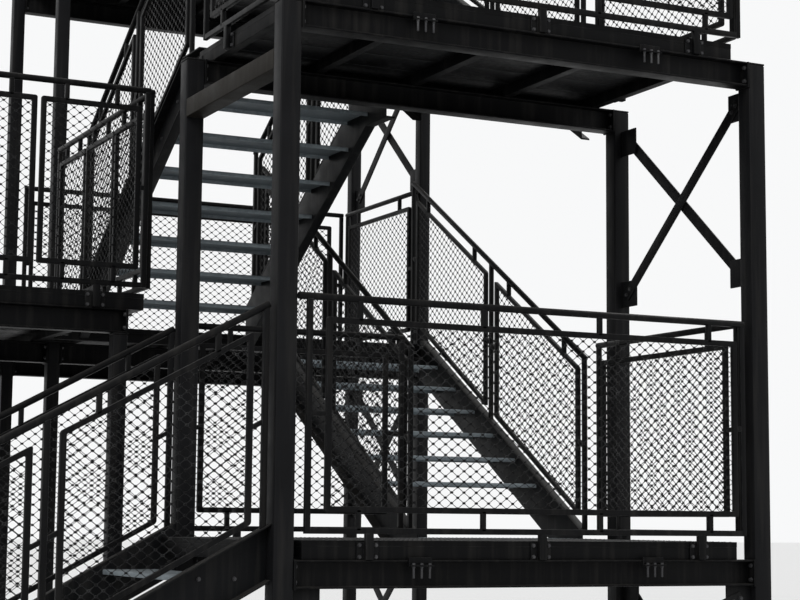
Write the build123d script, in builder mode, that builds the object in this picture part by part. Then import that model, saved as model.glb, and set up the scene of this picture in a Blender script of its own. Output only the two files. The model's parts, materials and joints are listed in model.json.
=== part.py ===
from build123d import *
import os
from math import atan, ceil, cos, degrees, hypot, sin

os.makedirs("parts", exist_ok=True)

# Stair rhythm, in millimetres
riser = 162
going = 262
entry_going = 300
entry_risers = 10
flight_risers = 8

# Levels of the walking surfaces above the ground
flight_rise = flight_risers * riser
lower_level = entry_risers * riser
landing_level = lower_level + flight_rise
upper_level = landing_level + flight_rise
top_level = upper_level + flight_rise

# Plan of the columns: x runs along the front, y runs to the rear
bay_width = 2650
bay_depth = 1300
landing_column_inset = 284
landing_bay = 1160
column_size = 100
rear_column_size = 80

# Decks, the frames below them and the beams that carry the frames
plate_thickness = 28
frame_depth = 62
frame_bar = 50
joist_pitch = 640
left_clearance = 45
right_clearance = 100
front_overhang = 30
rear_overhang = 160
entry_edge = -130
beam_depth = 130
beam_width = 100
rear_beam_width = 80
beam_web = 8
beam_flange = 10
tie_depth = 97
tie_drop = 95
landing_setback = 20
threshold_clearance = 5

# Flights
flight_gap = 110
flight_margin = 90
entry_outset = 20
stringer_depth = 230
stringer_rise = 30
stringer_width = 60
stringer_web = 8
flange_thickness = 9
tread_depth = 285
tread_height = 26
tread_skin = 4

# Guards
rail_diameter = 34
bar_size = 30
grid_pitch = 190
grid_bar = 8
grid_thickness = 4
post_gap = 45
side_setback = 140
entry_panel_count = 3
flight_panel_count = 2
guard_height = 1110
stair_guard_height = 1035
panel_drop = 90
panel_bottom = 125
stair_panel_bottom = 75
toe_height = 28
panel_gap = 22
stub_width = 24
stub_inset = 238
stub_pitch = 660
bracket_width = 112
bracket_height = 82
bracket_thickness = 8
bracket_inset = 255
bracket_pitch = 915
post_width = 40
stair_guard_inset = 20
stair_guard_start = 20
stair_guard_overrun = 214

# Walkway beside the half landing
walkway_right = -95
walkway_bay = 620
walkway_bays = 3
walkway_front = 1730
walkway_column_size = 80
walkway_column_inset = 130

# Feet, caps and bracing
foot_size = 200
foot_thickness = 14
anchor_hole_radius = 9
anchor_hole_inset = 32
cap_thickness = 10
brace_width = 46
brace_thickness = 10
brace_inset = 60
brace_height = 1040
rear_brace_height = 960
gusset_size = 150
gusset_thickness = 10

# Sizes worked out from the ones above
frame_top = -plate_thickness
frame_bottom = frame_top - frame_depth
beam_bottom = frame_bottom - beam_depth
deck_left = column_size / 2 + left_clearance
deck_right = bay_width - column_size / 2 - right_clearance
deck_front = -front_overhang
deck_rear = bay_depth + rear_overhang
landing_front = deck_rear + flight_risers * going
landing_column_y = landing_front + landing_column_inset
rear_column_y = landing_column_y + landing_bay
landing_rear = rear_column_y - landing_setback
flight_width = (bay_width - flight_gap) / 2 - flight_margin
flights_left = flight_margin
flights_right = (bay_width + flight_gap) / 2
flights_edge = flights_right + flight_width
entry_width = bay_depth + 2 * entry_outset
walkway_left = walkway_right - walkway_bays * walkway_bay
guard_offset = bracket_thickness + bar_size / 2
front_top = upper_level + frame_bottom
rear_top = top_level + frame_bottom
walkway_top = landing_level + beam_bottom


def save(builder, name):
    """Label the finished piece and write its own file."""
    builder.part.label = name
    export_step(builder.part, "parts/" + name + ".step")


def block(low, high, mode=Mode.ADD):
    """Add or cut a box between two opposite corners."""
    size = [high[i] - low[i] for i in range(3)]
    centre = [(high[i] + low[i]) / 2 for i in range(3)]
    with Locations(tuple(centre)):
        Box(*size, mode=mode)


def upright(start, direction):
    """A vertical work plane: its x runs along the direction and its y runs up."""
    dx, dy = direction
    return Plane(origin=start, x_dir=(dx, dy, 0), z_dir=(dy, -dx, 0))


def evenly(length, inset, pitch):
    """Places along a length, from inset to inset, about one pitch apart."""
    spaces = max(1, round((length - 2 * inset) / pitch))
    step = (length - 2 * inset) / spaces
    return [inset + i * step for i in range(spaces + 1)]


# Columns, with their feet and caps
front_places = [(0, 0), (bay_width, 0)]
middle_places = [(0, bay_depth), (bay_width, bay_depth)]
landing_places = [(0, landing_column_y), (bay_width, landing_column_y)]
rear_places = [(0, rear_column_y), (bay_width, rear_column_y)]
walkway_near_x = walkway_right - walkway_column_inset
walkway_far_x = walkway_left + walkway_column_inset
walkway_line_y = walkway_front + frame_bar / 2
walkway_places = [
    (walkway_near_x, walkway_line_y),
    (walkway_far_x, walkway_line_y),
    (walkway_far_x, landing_column_y),
    (walkway_far_x, rear_column_y),
]
column_groups = {
    "front_columns": (front_places, column_size, front_top),
    "middle_columns": (middle_places, column_size, front_top),
    "landing_columns": (landing_places, rear_column_size, rear_top),
    "rear_columns": (rear_places, rear_column_size, rear_top),
    "walkway_columns": (walkway_places, walkway_column_size, walkway_top),
}
for name, (places, size, top) in column_groups.items():
    with BuildPart() as columns:
        for x, y in places:
            block(
                (x - size / 2, y - size / 2, foot_thickness),
                (x + size / 2, y + size / 2, top - cap_thickness),
            )
    save(columns, name)

with BuildPart() as cap_plates:
    for places, size, top in column_groups.values():
        for x, y in places:
            block(
                (x - size / 2, y - size / 2, top - cap_thickness),
                (x + size / 2, y + size / 2, top),
            )
save(cap_plates, "cap_plates")

with BuildPart() as base_plates:
    hole_pitch = foot_size - 2 * anchor_hole_inset
    for places, size, top in column_groups.values():
        with BuildSketch(Plane.XY) as feet:
            with Locations(*places):
                Rectangle(foot_size, foot_size)
                with GridLocations(hole_pitch, hole_pitch, 2, 2):
                    Circle(anchor_hole_radius, mode=Mode.SUBTRACT)
        extrude(amount=foot_thickness)
save(base_plates, "base_plates")


def beam_along_x(left, right, y, top, width):
    """A rolled beam: two flanges joined by a web."""
    bottom = top - beam_depth
    block((left, y - width / 2, bottom), (right, y + width / 2, bottom + beam_flange))
    block((left, y - width / 2, top - beam_flange), (right, y + width / 2, top))
    block((left, y - beam_web / 2, bottom), (right, y + beam_web / 2, top))


# Main beams between the columns
for name, level in (("lower_beams", lower_level), ("upper_beams", upper_level)):
    with BuildPart() as deck_beams:
        for y in (0, bay_depth):
            left = column_size / 2
            right = bay_width - column_size / 2
            beam_along_x(left, right, y, level + frame_bottom, beam_width)
    save(deck_beams, name)

for name, level in (("half_landing_beams", landing_level), ("top_landing_beams", top_level)):
    with BuildPart() as landing_beams:
        for y in (landing_column_y, rear_column_y):
            left = rear_column_size / 2
            right = bay_width - rear_column_size / 2
            beam_along_x(left, right, y, level + frame_bottom, rear_beam_width)
    save(landing_beams, name)

with BuildPart() as walkway_beams:
    far_end = walkway_far_x - walkway_column_size / 2
    near_end = walkway_near_x + walkway_column_size / 2
    walkway_beam_top = landing_level + frame_bottom
    beam_along_x(far_end, near_end, walkway_line_y, walkway_beam_top, walkway_column_size)
    for y in (landing_column_y, rear_column_y):
        beam_along_x(far_end, -rear_column_size / 2, y, walkway_beam_top, walkway_column_size)
save(walkway_beams, "walkway_beams")

# Side tie between the two left columns, below the upper deck
with BuildPart() as left_tie_beam:
    tie_top = upper_level + beam_bottom - tie_drop
    half = column_size / 2
    block((-half, half, tie_top - tie_depth), (half, bay_depth - half, tie_top))
save(left_tie_beam, "left_tie_beam")


def frame_ring(low, high, level):
    """Edge bars round an area, with joists across it at an even pitch."""
    bottom = level + frame_bottom
    top = level + frame_top
    joists = evenly(high[0] - low[0], frame_bar / 2, joist_pitch)
    block((low[0], low[1], bottom), (high[0], high[1], top))
    for i in range(len(joists) - 1):
        block(
            (low[0] + joists[i] + frame_bar / 2, low[1] + frame_bar, bottom),
            (low[0] + joists[i + 1] - frame_bar / 2, high[1] - frame_bar, top),
            mode=Mode.SUBTRACT,
        )


# Areas that the plates cover, each a rectangle in plan
main_area = ((deck_left, deck_front), (deck_right, deck_rear))
column_reach = column_size / 2 + threshold_clearance
entry_area = ((entry_edge, column_reach), (deck_left + frame_bar, bay_depth - column_reach))
landing_area = ((flights_left, landing_front), (flights_edge, landing_rear))
rear_reach = rear_column_size / 2 + threshold_clearance
threshold_right = flights_left + frame_bar
front_threshold = ((walkway_right, landing_front), (threshold_right, landing_column_y - rear_reach))
rear_threshold = (
    (walkway_right, landing_column_y + rear_reach),
    (threshold_right, rear_column_y - rear_reach),
)
walkway_area = ((walkway_left, walkway_front), (walkway_right, landing_rear))
decks = {
    "lower_deck": (lower_level, [entry_area, main_area]),
    "upper_deck": (upper_level, [main_area]),
    "half_landing": (landing_level, [front_threshold, rear_threshold, landing_area]),
    "top_landing": (top_level, [landing_area]),
    "walkway": (landing_level, [walkway_area]),
}
for name, (level, areas) in decks.items():
    with BuildPart() as deck_frame:
        for low, high in areas:
            frame_ring(low, high, level)
        if main_area in areas:
            block(
                (flights_left, deck_rear - frame_bar, level + frame_bottom),
                (flights_edge, deck_rear, level + frame_top),
            )
    save(deck_frame, name + "_frame")
    with BuildPart() as deck_plate:
        for low, high in areas:
            block((low[0], low[1], level - plate_thickness), (high[0], high[1], level))
    save(deck_plate, name + "_plate")


class Flight:
    """A straight flight, its stretch measured along the run from its pitch line's foot."""

    def __init__(self, name, start, direction, run_going, risers):
        self.name = name
        self.start = start
        self.direction = direction
        self.going = run_going
        self.risers = risers
        self.slope = riser / run_going
        self.width = flight_width
        self.first_tread = 0
        self.begin = 0
        self.finish = risers * run_going
        self.level_end = 0

    def plane(self, inset):
        """A work plane along the flight, that far in from its starting side."""
        dx, dy = self.direction
        x, y, z = self.start
        return upright((x - dy * inset, y + dx * inset, z), self.direction)


def stringer_face(flight, upper, lower):
    """Side view of a strip of a stringer between two heights above the pitch line."""
    top = flight.risers * riser
    bend = flight.finish - flight.level_end
    points = [(bend, upper + flight.slope * bend)]
    if flight.level_end:
        points.append((flight.finish, upper + top))
        points.append((flight.finish, lower + top))
    points.append((bend, lower + flight.slope * bend))
    if flight.start[2] == 0:
        points.append((-lower / flight.slope, 0))
        points.append((-upper / flight.slope, 0))
    else:
        points.append((flight.begin, lower + flight.slope * flight.begin))
        points.append((flight.begin, upper + flight.slope * flight.begin))
    return points


def build_stringers(flight):
    """Two channels with their flanges outwards and their webs beside the treads."""
    tilt = cos(atan(flight.slope))
    lower = stringer_rise - stringer_depth / tilt
    skin = flange_thickness / tilt
    strips = [(stringer_rise, stringer_rise - skin), (lower + skin, lower)]
    with BuildPart() as stringers:
        for inset, inward in ((0, 1), (flight.width, -1)):
            web_inset = inset + inward * (stringer_width - stringer_web)
            with BuildSketch(flight.plane(web_inset)) as web:
                Polygon(*stringer_face(flight, stringer_rise, lower), align=None)
            extrude(web.sketch, amount=-inward * stringer_web)
            for upper_edge, lower_edge in strips:
                with BuildSketch(flight.plane(inset)) as flange:
                    Polygon(*stringer_face(flight, upper_edge, lower_edge), align=None)
                extrude(flange.sketch, amount=-inward * stringer_width)
    save(stringers, flight.name + "_stringers")


def build_treads(flight):
    """Folded plates with a turned-down lip at the nosing and at the back."""
    span = flight.width - 2 * stringer_width
    end = flight.risers * flight.going + flight.level_end
    last_tread = flight.risers + (1 if flight.level_end else 0)
    with BuildPart() as treads:
        for k in range(flight.first_tread, last_tread):
            front = k * flight.going
            back = min(front + tread_depth, end) if flight.level_end else front + tread_depth
            top = k * riser
            middle = (front + back) / 2
            with BuildSketch(flight.plane(stringer_width)) as profile:
                with Locations((middle, top - tread_height / 2)):
                    Rectangle(back - front, tread_height)
                with Locations((middle, top - (tread_height + tread_skin) / 2)):
                    Rectangle(
                        back - front - 2 * tread_skin,
                        tread_height - tread_skin,
                        mode=Mode.SUBTRACT,
                    )
            extrude(profile.sketch, amount=-span)
    save(treads, flight.name + "_treads")


# The four flights
entry_foot = (entry_edge - entry_risers * entry_going, -entry_outset, 0)
entry_flight = Flight("entry_flight", entry_foot, (1, 0), entry_going, entry_risers)
entry_flight.width = entry_width
entry_flight.first_tread = 1
entry_flight.finish = -column_size / 2 - entry_foot[0]
lower_foot = (flights_edge, deck_rear, lower_level)
lower_flight = Flight("lower_flight", lower_foot, (0, 1), going, flight_risers)
middle_foot = (flights_left, landing_front + going, landing_level)
middle_flight = Flight("middle_flight", middle_foot, (0, -1), going, flight_risers)
middle_flight.first_tread = 1
middle_flight.begin = going
middle_flight.finish = (flight_risers + 1) * going
middle_flight.level_end = going
upper_foot = (flights_edge, deck_rear, upper_level)
upper_flight = Flight("upper_flight", upper_foot, (0, 1), going, flight_risers)
for flight in (entry_flight, lower_flight, middle_flight, upper_flight):
    build_stringers(flight)
    build_treads(flight)


def sheared(left, right, low, high, slope):
    """Corners of an upright bar whose ends follow a slope."""
    return [
        (left, low + slope * left),
        (right, low + slope * right),
        (right, high + slope * right),
        (left, high + slope * left),
    ]


def split(left, right, count, gap):
    """Panels side by side with a gap between neighbours."""
    width = (right - left - (count - 1) * gap) / count
    starts = [left + i * (width + gap) for i in range(count)]
    return [(start, start + width) for start in starts]


def openings(low, high):
    """Starts and size of the equal openings that thin bars leave in a span."""
    count = ceil((high - low) / grid_pitch)
    size = (high - low - (count - 1) * grid_bar) / count
    return [low + i * (size + grid_bar) for i in range(count)], size


def guard_panels(plane, panels, bottom, top, slope):
    """Framed panels, each with a coarse grid that stands for its fine mesh."""
    rows, cell_height = openings(bottom + bar_size, top - bar_size)
    with BuildSketch(plane) as grids:
        for left, right in panels:
            columns, cell_width = openings(left + bar_size, right - bar_size)
            cell = sheared(0, cell_width, 0, cell_height, slope)
            Polygon(*sheared(left, right, bottom, top, slope), align=None)
            with Locations(*[(x, z + slope * x) for x in columns for z in rows]):
                Polygon(*cell, align=None, mode=Mode.SUBTRACT)
    extrude(grids.sketch, amount=grid_thickness / 2, both=True)
    with BuildSketch(plane) as frames:
        for left, right in panels:
            inner = (left + bar_size, right - bar_size, bottom + bar_size, top - bar_size)
            Polygon(*sheared(left, right, bottom, top, slope), align=None)
            Polygon(*sheared(*inner, slope), align=None, mode=Mode.SUBTRACT)
    extrude(frames.sketch, amount=bar_size / 2, both=True)


def handrail(plane, left, right, height, slope):
    """A round rail above the panels."""
    tilt = atan(slope)
    up = Vector(0, 0, 1)
    along = plane.x_dir * cos(tilt) + up * sin(tilt)
    origin = plane.origin + plane.x_dir * left + up * (height + slope * left)
    with BuildSketch(Plane(origin=origin, x_dir=plane.z_dir, z_dir=along)) as ring:
        Circle(rail_diameter / 2)
    extrude(ring.sketch, amount=(right - left) / cos(tilt))


def side_tabs(left, right, middle, slope):
    """Short bars that join both sides of a panel to the posts beside it."""
    low = middle - stub_width / 2
    high = middle + stub_width / 2
    Polygon(*sheared(left - post_gap, left, low, high, slope), align=None)
    Polygon(*sheared(right, right + post_gap, low, high, slope), align=None)


def level_guard(start, direction, length, level, count=1):
    """A guard along a deck edge, bolted to the face of the deck frame."""
    plane = upright((start[0], start[1], level), direction)
    side = bar_size + post_gap
    panels = split(side, length - side, count, panel_gap)
    panel_top = guard_height - panel_drop
    toe_top = toe_height + bar_size
    half_stub = stub_width / 2
    brackets = evenly(length, bracket_inset, bracket_pitch)
    guard_panels(plane, panels, panel_bottom, panel_top, 0)
    with BuildSketch(plane) as bars:
        Polygon(*sheared(0, length, toe_height, toe_top, 0), align=None)
        Polygon(*sheared(0, bar_size, toe_height, guard_height, 0), align=None)
        Polygon(*sheared(length - bar_size, length, toe_height, guard_height, 0), align=None)
        side_tabs(side, length - side, (panel_bottom + panel_top) / 2, 0)
        for left, right in panels:
            inset = min(stub_inset, (right - left) / 4)
            for place in evenly(right - left, inset, stub_pitch):
                sides = (left + place - half_stub, left + place + half_stub)
                Polygon(*sheared(*sides, panel_top - half_stub, guard_height, 0), align=None)
                Polygon(*sheared(*sides, toe_height, panel_bottom + half_stub, 0), align=None)
        for x in brackets:
            sides = (x - post_width / 2, x + post_width / 2)
            Polygon(*sheared(*sides, frame_bottom, toe_top, 0), align=None)
    extrude(bars.sketch, amount=bar_size / 2, both=True)
    with BuildSketch(plane.offset(-bar_size / 2)) as plates:
        for x in brackets:
            sides = (x - bracket_width / 2, x + bracket_width / 2)
            Polygon(*sheared(*sides, frame_bottom, frame_bottom + bracket_height, 0), align=None)
    extrude(plates.sketch, amount=-bracket_thickness)
    handrail(plane, 0, length, guard_height, 0)


def stair_guard(plane, slope, begin, finish, end_level, count):
    """A sloping guard on a stringer; its last post may stand on a level surface."""
    top = stair_guard_height
    panel_top = top - panel_drop
    side = bar_size + post_gap
    panels = split(begin + side, finish - side, count, side + post_gap)
    posts = [left - side for left, right in panels]
    half_stub = stub_width / 2
    guard_panels(plane, panels, stair_panel_bottom, panel_top, slope)
    with BuildSketch(plane) as bars:
        for left, right in panels:
            side_tabs(left, right, (stair_panel_bottom + panel_top) / 2, slope)
            for place in evenly(right - left, stub_inset, stub_pitch):
                sides = (left + place - half_stub, left + place + half_stub)
                Polygon(*sheared(*sides, panel_top - half_stub, top, slope), align=None)
        for post in posts:
            Polygon(*sheared(post, post + bar_size, stringer_rise, top, slope), align=None)
        inner = finish - bar_size
        if end_level is None:
            Polygon(*sheared(inner, finish, stringer_rise, top, slope), align=None)
        else:
            Polygon(
                (inner, end_level),
                (finish, end_level),
                (finish, top + slope * finish),
                (inner, top + slope * inner),
                align=None,
            )
    extrude(bars.sketch, amount=bar_size / 2, both=True)
    handrail(plane, begin, finish, stair_guard_height, slope)


# Guards along the deck edges: start, direction, length, level and panels
front_line = deck_front - guard_offset
right_line = deck_right + guard_offset
left_line = deck_left - guard_offset
rear_line = deck_rear + guard_offset
front_length = right_line + bar_size / 2 - deck_left
side_length = deck_rear - deck_front - side_setback
rear_start = flights_right - bar_size
landing_right_line = flights_edge + guard_offset
landing_left_line = flights_left - guard_offset
landing_front_line = landing_front - guard_offset
landing_rear_line = landing_rear + guard_offset
landing_length = flights_edge - flights_left
landing_side_start = landing_column_y - rear_column_size / 2
landing_side = landing_rear - landing_side_start
landing_depth = landing_rear - landing_front
walkway_front_line = walkway_front - guard_offset
walkway_right_line = walkway_right + guard_offset
walkway_left_line = walkway_left - guard_offset
walkway_side = landing_front - walkway_front
walkway_length = walkway_right - walkway_left
walkway_depth = landing_rear - walkway_front
east, north, west, south = (1, 0), (0, 1), (-1, 0), (0, -1)
level_guards = {
    "lower_front_guard": ((deck_left, front_line), east, front_length, lower_level),
    "lower_right_guard": ((right_line, deck_front), north, side_length, lower_level),
    "lower_rear_guard": ((rear_start, rear_line), west, rear_start - deck_left, lower_level),
    "upper_front_guard": ((deck_left, front_line), east, front_length, upper_level),
    "upper_right_guard": ((right_line, deck_front), north, side_length, upper_level),
    "upper_left_guard": ((left_line, deck_front + side_length), south, side_length, upper_level),
    "half_landing_right_guard": (
        (landing_right_line, landing_side_start),
        north,
        landing_side,
        landing_level,
    ),
    "half_landing_rear_guard": (
        (flights_edge, landing_rear_line),
        west,
        landing_length,
        landing_level,
    ),
    "top_landing_front_guard": (
        (flights_left, landing_front_line),
        east,
        flight_width,
        top_level,
    ),
    "top_landing_right_guard": (
        (landing_right_line, landing_side_start),
        north,
        landing_side,
        top_level,
    ),
    "top_landing_rear_guard": (
        (flights_edge, landing_rear_line),
        west,
        landing_length,
        top_level,
    ),
    "top_landing_left_guard": (
        (landing_left_line, landing_rear),
        south,
        landing_depth,
        top_level,
    ),
    "walkway_front_guard": (
        (walkway_left, walkway_front_line),
        east,
        walkway_length,
        landing_level,
    ),
    "walkway_right_guard": (
        (walkway_right_line, walkway_front),
        north,
        walkway_side,
        landing_level,
    ),
    "walkway_rear_guard": (
        (walkway_right, landing_rear_line),
        west,
        walkway_length,
        landing_level,
    ),
    "walkway_left_guard": (
        (walkway_left_line, landing_rear),
        south,
        walkway_depth,
        landing_level,
    ),
}
for name, (start, direction, length, level) in level_guards.items():
    count = round(length / walkway_bay) if "walkway" in name else 1
    with BuildPart() as guard:
        level_guard(start, direction, length, level, count)
    save(guard, name)

# Guards on both sides of each flight: begin, finish and level of the last post
entry_finish = entry_flight.finish - stair_guard_start
flight_end = flight_risers * going + stair_guard_overrun
middle_end = middle_flight.finish - going + stair_guard_overrun / 2
flight_guards = [
    (entry_flight, stair_guard_start, entry_finish, None),
    (lower_flight, stair_guard_start, flight_end, flight_rise),
    (middle_flight, going + stair_guard_start, middle_end, flight_rise + stringer_rise),
    (upper_flight, stair_guard_start, flight_end, flight_rise),
]
for flight, begin, finish, end_level in flight_guards:
    count = entry_panel_count if flight is entry_flight else flight_panel_count
    with BuildPart() as guards:
        for inset in (stair_guard_inset, flight.width - stair_guard_inset):
            stair_guard(flight.plane(inset), flight.slope, begin, finish, end_level, count)
    save(guards, flight.name + "_guards")

# Crossed flat bars between columns: start corner, direction, width, top and height
front_clear = bay_width - column_size
side_clear = bay_depth - column_size
rear_clear = rear_column_y - landing_column_y - rear_column_size
side_place = (bay_width, column_size / 2)
rear_place = (bay_width, landing_column_y + rear_column_size / 2)
under_lower = lower_level + beam_bottom
under_upper = upper_level + beam_bottom
under_landing = landing_level + beam_bottom
low_brace_top = under_landing - rear_brace_height - gusset_size
high_brace_top = under_upper + brace_height
brace_sets = {
    "front_brace": [((column_size / 2, 0), east, front_clear, under_lower, brace_height)],
    "side_braces": [
        (side_place, north, side_clear, under_lower, brace_height),
        (side_place, north, side_clear, under_upper, brace_height),
    ],
    "rear_bay_braces": [
        (rear_place, north, rear_clear, low_brace_top, rear_brace_height),
        (rear_place, north, rear_clear, under_landing, rear_brace_height),
        (rear_place, north, rear_clear, high_brace_top, rear_brace_height),
    ],
}
for name, braces in brace_sets.items():
    with BuildPart() as crossed_bars:
        for start, direction, width, top, height in braces:
            plane = upright((start[0], start[1], top - height), direction)
            across = width - 2 * brace_inset
            rise = height - 2 * brace_inset
            for side in (1, -1):
                with BuildSketch(plane.offset(side * gusset_thickness / 2)) as bar:
                    with Locations((width / 2, height / 2)):
                        lean = side * degrees(atan(rise / across))
                        Rectangle(hypot(across, rise), brace_width, rotation=lean)
                extrude(amount=side * brace_thickness)
    save(crossed_bars, name)

with BuildPart() as brace_gussets:
    for braces in brace_sets.values():
        for start, direction, width, top, height in braces:
            with BuildSketch(upright((start[0], start[1], top - height), direction)) as corners:
                for x in (gusset_size / 2, width - gusset_size / 2):
                    for y in (gusset_size / 2, height - gusset_size / 2):
                        with Locations((x, y)):
                            Rectangle(gusset_size, gusset_size)
            extrude(amount=gusset_thickness / 2, both=True)
save(brace_gussets, "brace_gussets")
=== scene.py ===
import json
from math import atan, ceil, cos, floor, radians, sin

import bmesh
import bpy
from mathutils import Matrix, Vector


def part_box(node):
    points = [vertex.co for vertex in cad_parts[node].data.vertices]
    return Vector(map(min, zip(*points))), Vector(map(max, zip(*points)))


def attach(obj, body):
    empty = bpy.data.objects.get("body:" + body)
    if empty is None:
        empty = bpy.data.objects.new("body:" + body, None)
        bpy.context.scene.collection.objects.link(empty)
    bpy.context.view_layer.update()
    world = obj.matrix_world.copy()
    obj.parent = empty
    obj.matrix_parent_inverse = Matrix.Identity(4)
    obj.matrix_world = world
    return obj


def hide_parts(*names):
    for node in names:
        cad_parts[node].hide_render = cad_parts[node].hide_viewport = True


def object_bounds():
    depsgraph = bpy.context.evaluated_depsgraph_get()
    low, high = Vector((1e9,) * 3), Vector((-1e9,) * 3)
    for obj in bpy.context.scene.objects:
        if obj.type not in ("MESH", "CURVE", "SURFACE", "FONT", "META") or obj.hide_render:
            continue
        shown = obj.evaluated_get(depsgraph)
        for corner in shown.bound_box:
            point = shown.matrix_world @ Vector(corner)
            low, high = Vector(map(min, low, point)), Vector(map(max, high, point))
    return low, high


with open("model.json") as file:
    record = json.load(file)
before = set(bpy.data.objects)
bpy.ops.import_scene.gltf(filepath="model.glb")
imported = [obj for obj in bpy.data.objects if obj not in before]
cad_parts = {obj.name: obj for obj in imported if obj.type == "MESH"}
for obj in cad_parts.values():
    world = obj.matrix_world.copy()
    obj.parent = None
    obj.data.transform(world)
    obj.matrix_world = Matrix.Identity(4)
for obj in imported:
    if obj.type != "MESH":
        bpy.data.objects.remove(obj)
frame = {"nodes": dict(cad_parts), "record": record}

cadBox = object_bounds()
nodes = frame["nodes"]
scene = bpy.context.scene
print("frame loaded:", len(nodes), "solids")


# Node tools for the materials

def addNode(tree, kind, inputs=None, **settings):
    # an input that is a socket is linked, any other value is set
    made = tree.nodes.new("ShaderNode" + kind)
    for name, value in settings.items():
        setattr(made, name, value)
    for name, value in (inputs or {}).items():
        if isinstance(value, bpy.types.NodeSocket):
            tree.links.new(value, made.inputs[name])
        else:
            made.inputs[name].default_value = value
    return made


def useGroup(tree, group, inputs):
    return addNode(tree, "Group", inputs, node_tree=group).outputs


def mixColour(tree, factor, first, second, blend="MIX"):
    inputs = {0: factor, 6: first, 7: second}
    return addNode(tree, "Mix", inputs, data_type="RGBA", blend_type=blend).outputs[2]


def calc(tree, operation, first, second, clamp=False):
    inputs = {0: first, 1: second}
    return addNode(tree, "Math", inputs, operation=operation, use_clamp=clamp).outputs[0]


def facingUp(tree):
    # one where a face looks up, minus one where it looks down
    face = addNode(tree, "NewGeometry").outputs["Normal"]
    return addNode(tree, "SeparateXYZ", {0: face}).outputs["Z"]


def remap(tree, value, low, high, start=0.0, end=1.0):
    spans = {"Value": value, "From Min": low, "From Max": high, "To Min": start, "To Max": end}
    return addNode(tree, "MapRange", spans).outputs[0]


def noise(tree, coordinates, scale, detail):
    settings = {"Vector": coordinates, "Scale": scale, "Detail": detail}
    return addNode(tree, "TexNoise", settings).outputs[0]


def stretch(tree, coordinates, scale):
    return addNode(tree, "Mapping", {"Vector": coordinates, "Scale": scale}).outputs[0]


def newGroup(name, inputs, outputs):
    tree = bpy.data.node_groups.new(name, "ShaderNodeTree")
    for label, value in inputs.items():
        kind = "NodeSocketFloat" if isinstance(value, float) else "NodeSocketColor"
        socket = tree.interface.new_socket(label, in_out="INPUT", socket_type=kind)
        socket.default_value = value
    for label, kind in outputs.items():
        tree.interface.new_socket(label, in_out="OUTPUT", socket_type="NodeSocket" + kind)
    return tree, tree.nodes.new("NodeGroupInput").outputs, tree.nodes.new("NodeGroupOutput").inputs


# Groups that several finishes share. Noises are given as scale and detail, spans as low and high
rubStyle = {
    "width": 0.004,
    "samples": 4,
    "patches": (14.0, 5.0),
    "patchSpan": (0.42, 0.68),
    "bendSpan": (0.04, 0.2),
}
dustStyle = {
    "drifts": (3.2, 6.0),
    "driftSpan": (0.35, 0.7),
    "driftShares": (0.35, 1.0),
    "levelSpan": (0.35, 0.95),
    "roughness": 0.3,
}
noiseSpan = (0.3, 0.7)


def edgeRubGroup():
    # bare metal where hands and boots rub the corners
    start = {"Width": rubStyle["width"], "Amount": 0.5}
    tree, given, out = newGroup("edgeRub", start, {"Mask": "Float"})
    samples = rubStyle["samples"]
    corner = addNode(tree, "Bevel", {"Radius": given["Width"]}, samples=samples).outputs[0]
    face = addNode(tree, "NewGeometry").outputs["Normal"]
    flat = addNode(tree, "VectorMath", {0: corner, 1: face}, operation="DOT_PRODUCT")
    bend = calc(tree, "SUBTRACT", 1.0, flat.outputs["Value"])
    place = addNode(tree, "TexCoord").outputs["Object"]
    broken = remap(tree, noise(tree, place, *rubStyle["patches"]), *rubStyle["patchSpan"])
    sharp = remap(tree, bend, *rubStyle["bendSpan"])
    rubbed = calc(tree, "MULTIPLY", sharp, broken)
    tree.links.new(calc(tree, "MULTIPLY", rubbed, given["Amount"], clamp=True), out["Mask"])
    return tree


def settledDustGroup():
    # dust lies on what faces up, in uneven drifts
    tree, given, out = newGroup("settledDust", {"Amount": 0.4}, {"Mask": "Float"})
    place = addNode(tree, "TexCoord").outputs["Object"]
    drifts = noise(tree, place, *dustStyle["drifts"])
    drift = remap(tree, drifts, *dustStyle["driftSpan"], *dustStyle["driftShares"])
    level = remap(tree, facingUp(tree), *dustStyle["levelSpan"])
    lying = calc(tree, "MULTIPLY", level, drift)
    tree.links.new(calc(tree, "MULTIPLY", lying, given["Amount"], clamp=True), out["Mask"])
    return tree


edgeRub = edgeRubGroup()
settledDust = settledDustGroup()


def dustedRoughness(tree, given, change, dusty):
    rough = calc(tree, "ADD", given["Gloss"], change)
    duller = calc(tree, "MULTIPLY", dusty, dustStyle["roughness"])
    return calc(tree, "ADD", rough, duller, clamp=True)


# Satin paint: uneven tone, rain streaks, fine grain, rubbed edges and dust
paintStyle = {
    "broad": (1.4, 4.0),
    "broadTone": (0.72, 1.18),
    "patches": (9.0, 5.0),
    "patchTone": (-0.1, 0.12),
    "patchGloss": (-0.07, 0.09),
    "patchHeight": 0.6,
    "grain": (420.0, 2.0),
    "streakStretch": (11.0, 11.0, 0.6),
    "streaks": (2.2, 4.0),
    "streakSpan": (0.5, 0.74),
    "streakShare": 0.1,
    "rubbedMetal": 0.7,
}


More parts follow.
